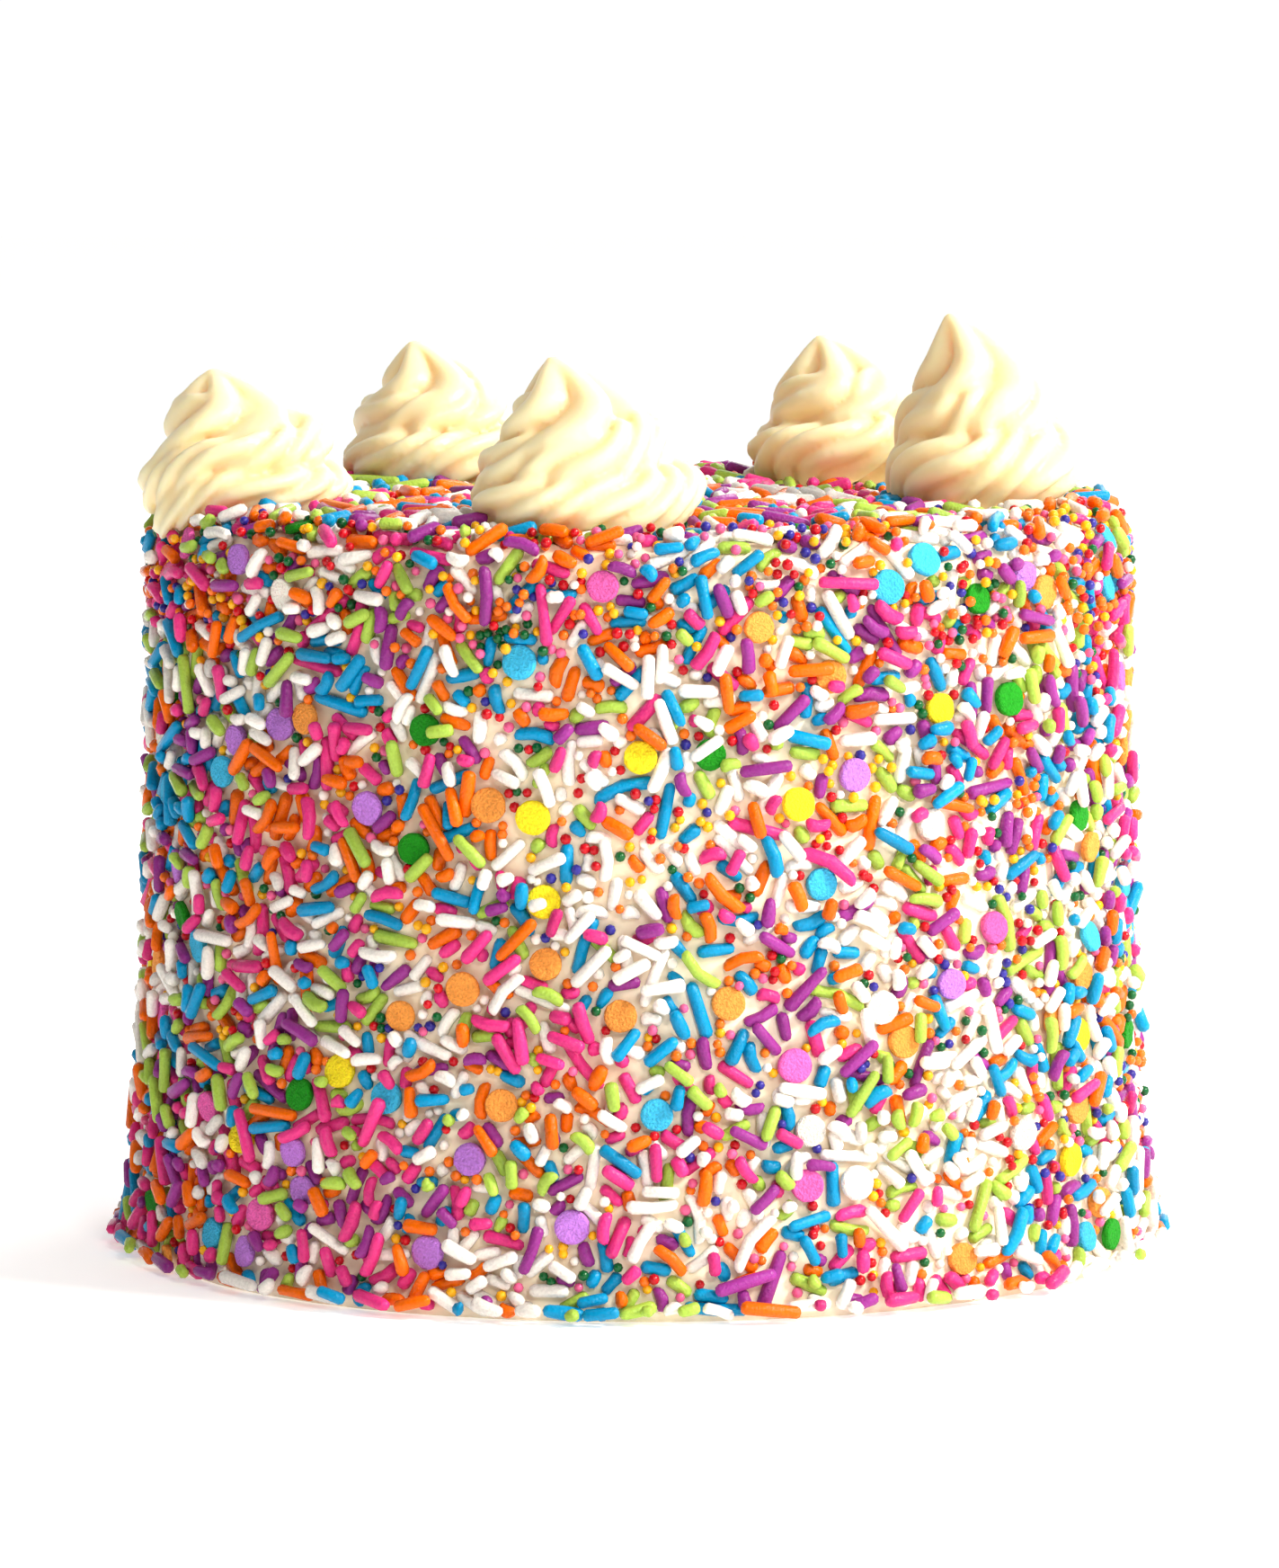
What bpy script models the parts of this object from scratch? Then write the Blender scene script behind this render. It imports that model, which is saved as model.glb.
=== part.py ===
"""A tall round ice cream cake, frosted and covered with mixed sugar sprinkles, with five buttercream swirls.

Metres, +Z up. The origin is the middle of the flat underside, and -Y is the front.
"""

import math
import random

import bmesh
import bpy
from mathutils import Matrix, Vector

MM = 0.001

# The frosted cake: straight at the top, spreading a little towards its foot
CAKE_HEIGHT = 114 * MM
TOP_RADIUS = 74 * MM
FOOT_FLARE = 4.6 * MM
FLARE_POWER = 2.2
EDGE_ROUND = 5 * MM
WAVER = 0.35 * MM
CORE_SIDES = 48
SIDE_RINGS = 6
SIDE_RING_POWER = 1.25
ROUND_RINGS = 3

# The sprinkles that stand out of the frosting, at true size
SEED = 11
DISC_COUNT = 80
ROD_COUNT = 80
FOOT_ROD_COUNT = 22
DISC_RADIUS = 2.5 * MM
DISC_THICKNESS = 1.2 * MM
DISC_SIDES = 8
DISC_LIFT = 0.25 * MM
ROD_RADIUS = 0.95 * MM
ROD_LENGTHS = (6 * MM, 9.5 * MM)
ROD_SIDES = 6
ROD_END = 0.6
ROD_LIFT = 0.45 * MM
SPRINKLE_TILT = math.radians(5)
FOOT_ROD_OUT = 0.6 * MM
FOOT_ROD_YAW = 0.5
PLACE_JITTER = 1.5 * MM
ROD_PLACES = 4
SWIRL_ROOM = 1.5
GOLDEN_ANGLE = math.pi * (3 - math.sqrt(5))
FLOOR_CLEAR = 0.25 * MM

# A piped swirl is a star-shaped rope laid in a rising coil, and a star-shaped peak drawn up out of it.
# Each station of the coil is turns from its start, coil radius, height, and the rope's half width
# and half thickness, in millimetres.
COIL = (
    (0.0, 8.6, 3.0, 4.4, 3.0),
    (0.1, 9.2, 4.4, 7.4, 4.9),
    (0.5, 9.6, 5.0, 8.2, 5.6),
    (1.0, 9.1, 7.4, 7.9, 5.7),
    (1.5, 7.6, 11.0, 7.3, 5.7),
    (2.0, 5.4, 14.4, 6.8, 5.2),
    (2.3, 3.6, 16.0, 5.6, 4.5),
    (2.5, 1.6, 16.4, 3.6, 3.6),
)
PEAK = (
    (7.0, 3.0),
    (10.0, 9.5),
    (13.0, 12.6),
    (16.0, 12.3),
    (18.6, 10.6),
    (21.0, 8.4),
    (23.0, 6.2),
    (24.7, 4.0),
    (25.9, 2.0),
    (26.4, 0.9),
    (26.6, 0.2),
)
NOMINAL_RADIUS = 17.3
NOMINAL_HEIGHT = 26.5
LOBES = 4
PEAK_LOBES = 5
COIL_DEPTH = 0.62
PEAK_DEPTH = 0.6
LOBE_CREST = 0.7
TWISTS = (3.6, 1.2)
HOOK = 0.75
PEAK_SWING = 1.6
PEAK_SWING_HEIGHTS = (9, 22)
PEAK_OVAL = 0.05
PEAK_STEP_POWER = 1.4
LEAN_POWER = 5
UNEVEN = 0.03
COIL_STEPS = 240
PEAK_STEPS = 50
ROPE_SIDES = 72
SUNK = 1.0 * MM
GAP = 0.35 * MM
VOXEL = 0.5 * MM
SOFTENINGS = 2
SWIRL_TRIANGLES = 980

# Where each swirl stands, its radius and height, the turn at which its rope starts, which way its
# tip leans (x, y) and how far its outer side hangs over the edge of the cake
SWIRLS = {
    "swirl_left": dict(at=(-61.5, -12), radius=17.4, height=22.5, start=200, lean=(-4.0, 0.5), hang=6.5),
    "swirl_back_left": dict(at=(-32, 46), radius=16.2, height=24.0, start=65, lean=(-4.5, 0.5), hang=0),
    "swirl_front": dict(at=(-8.5, -53), radius=17.3, height=26.5, start=150, lean=(-4.5, -0.5), hang=0),
    "swirl_back_right": dict(at=(33.5, 45), radius=16.6, height=25.0, start=310, lean=(-4.5, 0.5), hang=0),
    "swirl_right": dict(at=(52.5, -9), radius=15.8, height=31.0, start=20, lean=(-5.0, 0.0), hang=0),
}

FROSTING_COLOUR = (1.0, 0.87, 0.70)
BUTTERCREAM_COLOUR = (0.98, 0.84, 0.56)


def material(name, colour, roughness):
    made = bpy.data.materials.new(name)
    made.use_nodes = True
    shader = made.node_tree.nodes["Principled BSDF"]
    shader.inputs["Base Color"].default_value = (*colour, 1)
    shader.inputs["Roughness"].default_value = roughness
    shader.inputs["Metallic"].default_value = 0
    return made


def object_from(name, bm):
    mesh = bpy.data.meshes.new(name)
    bmesh.ops.recalc_face_normals(bm, faces=bm.faces)
    if bm.calc_volume(signed=True) < 0:
        bmesh.ops.reverse_faces(bm, faces=bm.faces)
    bm.to_mesh(mesh)
    bm.free()
    made = bpy.data.objects.new(name, mesh)
    bpy.context.scene.collection.objects.link(made)
    return made


def evaluated_copy(made):
    """The object's mesh with its modifiers carried out, in place of the modifiers."""
    graph = bpy.context.evaluated_depsgraph_get()
    shaped = bpy.data.meshes.new_from_object(made.evaluated_get(graph))
    made.modifiers.clear()
    made.data = shaped


def boolean(made, operation, solver, **operand):
    cut = made.modifiers.new(operation.title(), "BOOLEAN")
    cut.operation = operation
    cut.solver = solver
    for key, value in operand.items():
        setattr(cut, key, value)
    evaluated_copy(made)


def keep_largest_shell(made):
    """Drops loose scraps, and fills any hollow closed in between pieces."""
    bm = bmesh.new()
    bm.from_mesh(made.data)
    left = set(bm.faces)
    shells = []
    while left:
        waiting = [left.pop()]
        shell = list(waiting)
        while waiting:
            for edge in waiting.pop().edges:
                for face in edge.link_faces:
                    if face in left:
                        left.remove(face)
                        shell.append(face)
                        waiting.append(face)
        shells.append(shell)
    shells.sort(key=len)
    for shell in shells[:-1]:
        bmesh.ops.delete(bm, geom=shell, context="FACES")
    bm.to_mesh(made.data)
    bm.free()


def side_radius(height, angle):
    """The frosting's radius at a height, with the slight waver of a hand-smoothed side."""
    share = 1 - height / CAKE_HEIGHT
    flare = FOOT_FLARE * max(share, 0) ** FLARE_POWER
    waver = WAVER * (math.sin(3 * angle + 0.6) + 0.6 * math.sin(5 * angle + 40 * height))
    return TOP_RADIUS + flare + waver


def cake_profile(grow=0.0):
    """Heights and insets from the side radius, from the foot to the rim of the flat top."""
    straight = CAKE_HEIGHT - EDGE_ROUND
    rows = [(straight * (i / SIDE_RINGS) ** SIDE_RING_POWER, -grow) for i in range(SIDE_RINGS + 1)]
    for i in range(1, ROUND_RINGS + 1):
        turn = math.pi / 2 * i / ROUND_RINGS
        reach = EDGE_ROUND + grow
        rows.append((straight + reach * math.sin(turn), EDGE_ROUND - reach * math.cos(turn)))
    return rows


def turned_core(name, grow=0.0, sides=CORE_SIDES):
    """The cake itself, or with grow a form that stands that far clear of it."""
    bm = bmesh.new()
    rings = []
    for height, inset in cake_profile(grow):
        ring = []
        for i in range(sides):
            angle = 2 * math.pi * i / sides
            radius = side_radius(min(height, CAKE_HEIGHT), angle) - inset
            ring.append(bm.verts.new((radius * math.cos(angle), radius * math.sin(angle), height)))
        rings.append(ring)
    for low, high in zip(rings, rings[1:]):
        for i in range(sides):
            j = (i + 1) % sides
            bm.faces.new((low[i], low[j], high[j], high[i]))
    for ring, height in ((rings[0], 0.0), (rings[-1], CAKE_HEIGHT + grow)):
        middle = bm.verts.new((0, 0, height))
        for i in range(sides):
            bm.faces.new((ring[i], ring[(i + 1) % sides], middle))
    return object_from(name, bm)


def along_stations(stations, place):
    """The values at a place between stations, on a smooth curve through all of them."""
    last = len(stations) - 1
    i = max(k for k in range(last) if stations[k][0] <= place)
    before, start = stations[max(i - 1, 0)], stations[i]
    end, after = stations[i + 1], stations[min(i + 2, last)]
    span = end[0] - start[0]
    t = (place - start[0]) / span
    found = []
    for k in range(1, len(start)):
        slope_in = (end[k] - before[k]) / (end[0] - before[0]) * span
        slope_out = (after[k] - start[k]) / (after[0] - start[0]) * span
        found.append(
            (2 * t**3 - 3 * t**2 + 1) * start[k]
            + (t**3 - 2 * t**2 + t) * slope_in
            + (3 * t**2 - 2 * t**3) * end[k]
            + (t**3 - t**2) * slope_out
        )
    return found


def lobed(angle, depth, lobes):
    """A star nozzle's outline: broad rounded lobes with narrow valleys, 1 at the crest."""
    return 1 - depth * (1 - abs(math.sin(lobes * angle / 2)) ** LOBE_CREST)


def skinned(bm, rings):
    """Closes a row of rings into one tube with end caps."""
    for low, high in zip(rings, rings[1:]):
        for k in range(ROPE_SIDES):
            j = (k + 1) % ROPE_SIDES
            bm.faces.new((low[k], low[j], high[j], high[k]))
    bm.faces.new(rings[0])
    bm.faces.new(rings[-1])


def coil(bm, shape, waves):
    """The star-shaped rope laid in a coil. It twists as it goes, and each ridge is dragged into an S."""
    wide = shape["radius"] / NOMINAL_RADIUS * MM
    tall = shape["height"] / NOMINAL_HEIGHT * MM
    first = math.radians(shape["start"])
    whole = COIL[-1][0]
    path = []
    twist = 0
    for i in range(COIL_STEPS + 1):
        turns = whole * i / COIL_STEPS
        out, height, thick, deep = along_stations(COIL, turns)
        twist += (TWISTS[0] + (TWISTS[1] - TWISTS[0]) * i / COIL_STEPS) * whole / COIL_STEPS
        wobble = sum(size * math.sin(rate * 2 * math.pi * turns + phase) for rate, phase, size in waves)
        angle = first + 2 * math.pi * turns
        out *= wide * (1 + UNEVEN * wobble)
        centre = Vector((out * math.cos(angle), out * math.sin(angle), height * tall))
        path.append((centre, thick * wide * (1 + UNEVEN / 2 * wobble), deep * tall, twist + UNEVEN * wobble))
    rings = []
    side = Vector((math.cos(first), math.sin(first), 0))
    for i, (centre, thick, deep, twist) in enumerate(path):
        along = (path[min(i + 1, COIL_STEPS)][0] - path[max(i - 1, 0)][0]).normalized()
        side = (side - along * side.dot(along)).normalized()
        across = along.cross(side)
        ring = []
        for k in range(ROPE_SIDES):
            angle = 2 * math.pi * k / ROPE_SIDES
            swell = math.sin(2 * angle + 5 * twist + waves[0][1])
            swell += math.sin(3 * angle - 3 * twist + waves[1][1])
            dragged = angle + HOOK * math.sin(angle) + 2 * math.pi * twist
            reach = lobed(dragged, COIL_DEPTH, LOBES) * (1 + UNEVEN * swell)
            point = centre + reach * (thick * math.cos(angle) * side + deep * math.sin(angle) * across)
            ring.append(bm.verts.new((point.x, point.y, max(point.z, -SUNK))))
        rings.append(ring)
    skinned(bm, rings)


def peak(bm, shape, waves, phase):
    """The peak, whose ridges swing round as they rise and meet at the tip."""
    wide = shape["radius"] / NOMINAL_RADIUS * MM
    tall = shape["height"] / NOMINAL_HEIGHT * MM
    low, high = PEAK_SWING_HEIGHTS
    rings = []
    for i in range(PEAK_STEPS + 1):
        up = 1 - (1 - i / PEAK_STEPS) ** PEAK_STEP_POWER
        height = PEAK[0][0] + (PEAK[-1][0] - PEAK[0][0]) * up
        radius = max(along_stations(PEAK, height)[0], 0.1)
        rise = min(max((height - low) / (high - low), 0), 1)
        swing = PEAK_SWING * rise**2 * (3 - 2 * rise)
        depth = PEAK_DEPTH * min(radius / 3, 1)
        ring = []
        for k in range(ROPE_SIDES):
            angle = 2 * math.pi * k / ROPE_SIDES
            reach = radius * wide * lobed(angle - swing + phase, depth, PEAK_LOBES)
            reach *= 1 + PEAK_OVAL * math.sin(2 * angle + waves[0][1])
            ring.append(bm.verts.new((reach * math.cos(angle), reach * math.sin(angle), height * tall)))
        rings.append(ring)
    skinned(bm, rings)


def lean_and_hang(mesh, shape):
    """Bends the tip over, stands the swirl in its place, and lets its outer side sag over the cake's edge."""
    tall = shape["height"] * MM
    for vertex in mesh.vertices:
        up = max(vertex.co.z / tall, 0)
        x = vertex.co.x + (shape["lean"][0] * up**LEAN_POWER + shape["at"][0]) * MM
        y = vertex.co.y + (shape["lean"][1] * up**LEAN_POWER + shape["at"][1]) * MM
        past = (math.hypot(x, y) - (TOP_RADIUS - EDGE_ROUND)) / (2 * EDGE_ROUND)
        eased = min(max(past, 0), 1) ** 2 * (3 - 2 * min(max(past, 0), 1))
        sag = shape["hang"] * MM * eased * max(1 - up, 0)
        vertex.co = (x, y, CAKE_HEIGHT + vertex.co.z - sag)


def piped_swirl(name, shape, clearance, look):
    """Coil and peak run together into one solid, and its foot lies on the cake."""
    draw = random.Random(shape["start"])
    waves = [(draw.uniform(0.6, 2.6), draw.uniform(0, 6.28), draw.uniform(0.4, 1)) for _ in range(4)]
    bm = bmesh.new()
    coil(bm, shape, waves)
    peak(bm, shape, waves, draw.uniform(0, 1))
    made = object_from(name, bm)
    fused = made.modifiers.new("Run together", "REMESH")
    fused.mode = "VOXEL"
    fused.voxel_size = VOXEL
    softened = made.modifiers.new("Soften", "SMOOTH")
    softened.iterations = SOFTENINGS
    evaluated_copy(made)
    keep_largest_shell(made)
    thinned = made.modifiers.new("Fewer faces", "DECIMATE")
    thinned.ratio = SWIRL_TRIANGLES / (2 * len(made.data.polygons))
    evaluated_copy(made)
    lean_and_hang(made.data, shape)
    boolean(made, "DIFFERENCE", "MANIFOLD", object=clearance)
    keep_largest_shell(made)
    made.data.materials.clear()
    made.data.materials.append(look)
    made.data.shade_smooth()
    made.data.set_sharp_from_angle(angle=math.radians(50))
    return made


def disc_mesh():
    """A confetti sprinkle: a flat sugar disc."""
    bm = bmesh.new()
    bmesh.ops.create_cone(
        bm,
        cap_ends=True,
        segments=DISC_SIDES,
        radius1=DISC_RADIUS,
        radius2=DISC_RADIUS,
        depth=DISC_THICKNESS,
    )
    return bm


def rod_mesh(length):
    """A rod sprinkle along X, with pointed round ends."""
    bm = bmesh.new()
    shoulder = length / 2 - ROD_END * ROD_RADIUS
    rings = []
    for x in (-shoulder, shoulder):
        turns = [2 * math.pi * k / ROD_SIDES for k in range(ROD_SIDES)]
        rings.append([bm.verts.new((x, ROD_RADIUS * math.cos(a), ROD_RADIUS * math.sin(a))) for a in turns])
    tips = [bm.verts.new((x, 0, 0)) for x in (-length / 2, length / 2)]
    for k in range(ROD_SIDES):
        j = (k + 1) % ROD_SIDES
        bm.faces.new((rings[0][k], rings[0][j], rings[1][j], rings[1][k]))
        bm.faces.new((rings[0][k], rings[0][j], tips[0]))
        bm.faces.new((rings[1][k], rings[1][j], tips[1]))
    return bm


def surface_place(height, angle):
    """A point on the frosted side and its outward normal."""
    radius = side_radius(height, angle)
    step = 1 * MM
    slope = (side_radius(height + step, angle) - radius) / step
    normal = Vector((math.cos(angle), math.sin(angle), -slope)).normalized()
    return Vector((radius * math.cos(angle), radius * math.sin(angle), height)), normal


def rounded_place(run, angle):
    """The same, on the rounded edge or the flat top, run metres past the top of the straight side."""
    radius = side_radius(CAKE_HEIGHT - EDGE_ROUND, angle)
    turn = min(run / EDGE_ROUND, math.pi / 2)
    out = radius - EDGE_ROUND + EDGE_ROUND * math.cos(turn) - max(run - EDGE_ROUND * math.pi / 2, 0)
    up = CAKE_HEIGHT - EDGE_ROUND + EDGE_ROUND * math.sin(turn)
    normal = Vector((math.cos(turn) * math.cos(angle), math.cos(turn) * math.sin(angle), math.sin(turn)))
    return Vector((out * math.cos(angle), out * math.sin(angle), up)), normal


def spread_places(count):
    """Places spread evenly over the side, the rounded edge and the top, by the golden angle."""
    straight = CAKE_HEIGHT - EDGE_ROUND
    flat = TOP_RADIUS - EDGE_ROUND
    side_area = 2 * math.pi * TOP_RADIUS * (straight + EDGE_ROUND)
    side_count = round(count * side_area / (side_area + math.pi * flat**2))
    for i in range(side_count):
        run = (straight + EDGE_ROUND) * (i + 0.5) / side_count
        angle = i * GOLDEN_ANGLE
        yield surface_place(run, angle) if run < straight else rounded_place(run - straight, angle)
    for i in range(count - side_count):
        out = flat * math.sqrt((i + 0.5) / (count - side_count))
        angle = i * GOLDEN_ANGLE
        place = Vector((out * math.cos(angle), out * math.sin(angle), CAKE_HEIGHT))
        yield place, Vector((0, 0, 1))


def clear_of_swirls(place, reach):
    for shape in SWIRLS.values():
        apart = math.hypot(place.x - shape["at"][0] * MM, place.y - shape["at"][1] * MM)
        room = (shape["radius"] + SWIRL_ROOM) * MM + reach
        below = CAKE_HEIGHT - place.z > 2 * EDGE_ROUND + reach
        if apart < room and not below:
            return False
    return True


def clear_of_others(place, reach, taken):
    return all((place - other).length > reach + room for other, room in taken)


def laid(bm, place, normal, draw):
    """Turns a sprinkle about the normal by chance, tilts it a little and sets it in its place."""
    spin = Matrix.Rotation(draw.uniform(0, 2 * math.pi), 4, "Z")
    tilt = Matrix.Rotation(draw.uniform(-SPRINKLE_TILT, SPRINKLE_TILT), 4, "Y")
    stand = normal.to_track_quat("Z", "Y").to_matrix().to_4x4()
    bm.transform(Matrix.Translation(place) @ stand @ spin @ tilt)
    return bm


def sprinkle(bm, name, group):
    lowest = min(vertex.co.z for vertex in bm.verts)
    if lowest < FLOOR_CLEAR:
        bmesh.ops.translate(bm, verts=bm.verts, vec=(0, 0, FLOOR_CLEAR - lowest))
    made = object_from(name, bm)
    bpy.context.scene.collection.objects.unlink(made)
    group.objects.link(made)


def sprinkles(group):
    """Discs first, then rods between them, then rods that lie round the foot."""
    draw = random.Random(SEED)
    taken = []
    for i, (place, normal) in enumerate(spread_places(DISC_COUNT)):
        if clear_of_swirls(place, DISC_RADIUS):
            taken.append((place, DISC_RADIUS))
            sprinkle(laid(disc_mesh(), place + normal * DISC_LIFT, normal, draw), f"disc_{i}", group)
    rods = list(spread_places(ROD_COUNT * ROD_PLACES))
    draw.shuffle(rods)
    rod_total = len(taken) + ROD_COUNT
    for i, (place, normal) in enumerate(rods):
        length = draw.uniform(*ROD_LENGTHS)
        jitter = Vector([draw.uniform(-PLACE_JITTER, PLACE_JITTER) for _ in range(3)])
        shifted = place + jitter - normal * jitter.dot(normal)
        free = clear_of_swirls(shifted, length / 2) and clear_of_others(shifted, length / 2, taken)
        if free and len(taken) < rod_total:
            taken.append((shifted, length / 2))
            sprinkle(laid(rod_mesh(length), shifted + normal * ROD_LIFT, normal, draw), f"rod_{i}", group)
    for i in range(FOOT_ROD_COUNT):
        angle = 2 * math.pi * (i + draw.uniform(-0.2, 0.2)) / FOOT_ROD_COUNT
        length = draw.uniform(*ROD_LENGTHS)
        radius = side_radius(0, angle) + FOOT_ROD_OUT
        bm = rod_mesh(length)
        yaw = angle + math.pi / 2 + draw.uniform(-FOOT_ROD_YAW, FOOT_ROD_YAW)
        place = Vector((radius * math.cos(angle), radius * math.sin(angle), ROD_RADIUS))
        bm.transform(Matrix.Translation(place) @ Matrix.Rotation(yaw, 4, "Z"))
        sprinkle(bm, f"foot_rod_{i}", group)


def cake_body():
    """The frosted cake with the sprinkles fused to it."""
    made = turned_core("cake_body")
    group = bpy.data.collections.new("sprinkles")
    bpy.context.scene.collection.children.link(group)
    sprinkles(group)
    boolean(made, "UNION", "MANIFOLD", operand_type="COLLECTION", collection=group)
    for piece in list(group.objects):
        bpy.data.objects.remove(piece)
    bpy.data.collections.remove(group)
    keep_largest_shell(made)
    made.data.materials.clear()
    made.data.materials.append(material("frosting with sprinkles", FROSTING_COLOUR, 0.45))
    made.data.shade_smooth()
    made.data.set_sharp_from_angle(angle=math.radians(35))
    return made


for old in list(bpy.data.objects):
    bpy.data.objects.remove(old)

cake_body()
room = turned_core("cake_clearance", GAP)
room.hide_render = True
room.display_type = "WIRE"
buttercream = material("buttercream", BUTTERCREAM_COLOUR, 0.4)
for swirl_name, swirl_shape in SWIRLS.items():
    piped_swirl(swirl_name, swirl_shape, room, buttercream)
bpy.data.objects.remove(room)
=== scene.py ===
"""The looks of a tall round ice cream cake: frosting thick with sprinkles, and five piped buttercream swirls.

Sizes here are in millimetres, and mesh_piece turns them to metres. +Z is up, and -Y is the front.
The origin is the middle of the cake's flat underside.
"""

import math
import random

import bmesh
import bpy
import numpy as np
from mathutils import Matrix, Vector


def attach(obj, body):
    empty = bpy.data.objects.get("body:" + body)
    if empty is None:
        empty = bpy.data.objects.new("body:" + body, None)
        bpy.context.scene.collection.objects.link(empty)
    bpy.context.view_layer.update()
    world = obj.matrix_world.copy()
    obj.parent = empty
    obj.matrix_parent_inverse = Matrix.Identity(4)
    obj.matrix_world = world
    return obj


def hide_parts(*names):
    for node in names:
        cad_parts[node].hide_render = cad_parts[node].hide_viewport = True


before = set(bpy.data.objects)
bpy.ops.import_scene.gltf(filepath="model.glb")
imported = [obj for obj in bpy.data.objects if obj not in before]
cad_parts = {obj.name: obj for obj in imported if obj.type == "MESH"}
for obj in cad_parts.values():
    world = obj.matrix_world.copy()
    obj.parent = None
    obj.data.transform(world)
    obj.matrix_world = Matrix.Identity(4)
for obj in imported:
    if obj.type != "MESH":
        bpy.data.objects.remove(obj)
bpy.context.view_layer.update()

# The frosting. Whipped buttercream is spread over the side and the top of the cake with a palette knife,
# scraped nearly smooth, and rounded over at the rim. It is still soft when the sprinkles are pressed on.

MM = 0.001
CAKE_HEIGHT = 114
TOP_RADIUS = 74
FOOT_FLARE = 4.6
FLARE_POWER = 2.2
EDGE_ROUND = 5
WAVER = 0.35
STRAIGHT = CAKE_HEIGHT - EDGE_ROUND
SIDE_RUN = STRAIGHT + EDGE_ROUND * math.pi / 2
FLAT_RADIUS = TOP_RADIUS - EDGE_ROUND
FROSTING_STEPS_ROUND = 220
FROSTING_STEPS_UP = 56
FROSTING_STEPS_IN = 28

# The knife's marks: short ones that run round the cake, on broad patches, mostly below the smooth shape
KNIFE_MARK = 0.22
MARK_WIDTH = 9
MARK_SHARE = 0.5
MARK_SQUASH = 2.2
PATCH_WIDTH = 40
BELOW = 0.8


def mesh_piece(name, points, triangles, tone_and_painted_shade=None):
    """A piece from points in millimetres and triangles, and optionally each point's tone or painted shade."""
    mesh = bpy.data.meshes.new(name)
    mesh.vertices.add(len(points))
    mesh.vertices.foreach_set("co", (np.asarray(points, float) * MM).ravel())
    mesh.loops.add(3 * len(triangles))
    mesh.loops.foreach_set("vertex_index", np.asarray(triangles, np.int32).ravel())
    mesh.polygons.add(len(triangles))
    mesh.polygons.foreach_set("loop_start", np.arange(0, 3 * len(triangles), 3, dtype=np.int32))
    mesh.update(calc_edges=True)
    if tone_and_painted_shade is not None:
        mesh.attributes.new("tone_and_painted_shade", "FLOAT", "POINT").data.foreach_set("value", np.asarray(tone_and_painted_shade, np.float32))
    mesh.shade_smooth()
    piece = bpy.data.objects.new(name, mesh)
    bpy.context.scene.collection.objects.link(piece)
    return piece


def side_radius(height, angle):
    """The frosting's radius at a height, with the slight waver of a hand-smoothed side."""
    flare = FOOT_FLARE * np.maximum(1 - height / CAKE_HEIGHT, 0) ** FLARE_POWER
    return TOP_RADIUS + flare + WAVER * (np.sin(3 * angle + 0.6) + 0.6 * np.sin(5 * angle + 0.04 * height))


def side_skin(along, up):
    """Points on the side and the rounded rim, and their outward normals.

    along runs round the cake, in millimetres at the top radius, and up runs up the side and over the rim."""
    angle = along / TOP_RADIUS
    turn = np.clip((up - STRAIGHT) / EDGE_ROUND, 0, math.pi / 2)
    height = np.minimum(up, STRAIGHT)
    radius = side_radius(height, angle)
    slope = side_radius(height + 1, angle) - radius
    reach = radius - EDGE_ROUND * (1 - np.cos(turn))
    point = np.stack([reach * np.cos(angle), reach * np.sin(angle), height + EDGE_ROUND * np.sin(turn)], -1)
    lean = np.where(turn > 0, np.tan(np.minimum(turn, 1.5)), -slope)
    normal = np.stack([np.cos(angle), np.sin(angle), lean], -1)
    return point, normal / np.linalg.norm(normal, axis=-1, keepdims=True)


def top_skin(along, up):
    """The same for the flat top, where along and up are plain X and Y."""
    point = np.stack([along, up, np.full_like(along, CAKE_HEIGHT)], -1)
    normal = np.zeros_like(point)
    normal[..., 2] = 1
    return point, normal


def drift(seed, wavelength, waves=14):
    """A smooth random field through space, about -1 to 1, whose patches are half a wavelength wide."""
    draw = np.random.default_rng(seed)
    heading = draw.normal(size=(waves, 3))
    heading /= np.linalg.norm(heading, axis=1, keepdims=True)
    pace = 2 * math.pi / wavelength * draw.uniform(0.6, 1.5, (waves, 1))
    phase = draw.uniform(0, 2 * math.pi, waves)
    return lambda point: np.cos(point @ (heading * pace).T + phase).sum(-1) * math.sqrt(2 / waves) / 1.5


def linear(code):
    """A colour written as sRGB hex, as the linear values that a shader takes."""
    parts = [int(code[i : i + 2], 16) / 255 for i in (1, 3, 5)]
    return (*[p / 12.92 if p <= 0.04045 else ((p + 0.055) / 1.055) ** 2.4 for p in parts], 1)


def add(tree, kind, settings=None, links=None):
    """Adds a node. Settings are its options and socket values, and links are sockets fed by others."""
    made = tree.nodes.new(kind)
    for key, value in (settings or {}).items():
        if isinstance(key, int) or key in made.inputs:
            made.inputs[key].default_value = value
        else:
            setattr(made, key, value)
    for key, source in (links or {}).items():
        tree.links.new(source, made.inputs[key])
    return made


def new_material(name, settings):
    """A material with its shader's settings made, as (material, tree, shader)."""
    made = bpy.data.materials.new(name)
    made.use_nodes = True
    made.node_tree.nodes.clear()
    shader = add(made.node_tree, "ShaderNodeBsdfPrincipled", settings)
    add(made.node_tree, "ShaderNodeOutputMaterial", links={"Surface": shader.outputs["BSDF"]})
    return made, made.node_tree, shader


mark = drift(3, MARK_WIDTH)
broad = drift(4, PATCH_WIDTH)


def knifed(point, normal, squash):
    """Moves points of the skin in and out by the marks that the palette knife leaves."""
    uneven = KNIFE_MARK * (MARK_SHARE * mark(point * (1, 1, squash)) + broad(point) - BELOW)
    return point + normal * uneven[:, None]


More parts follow.
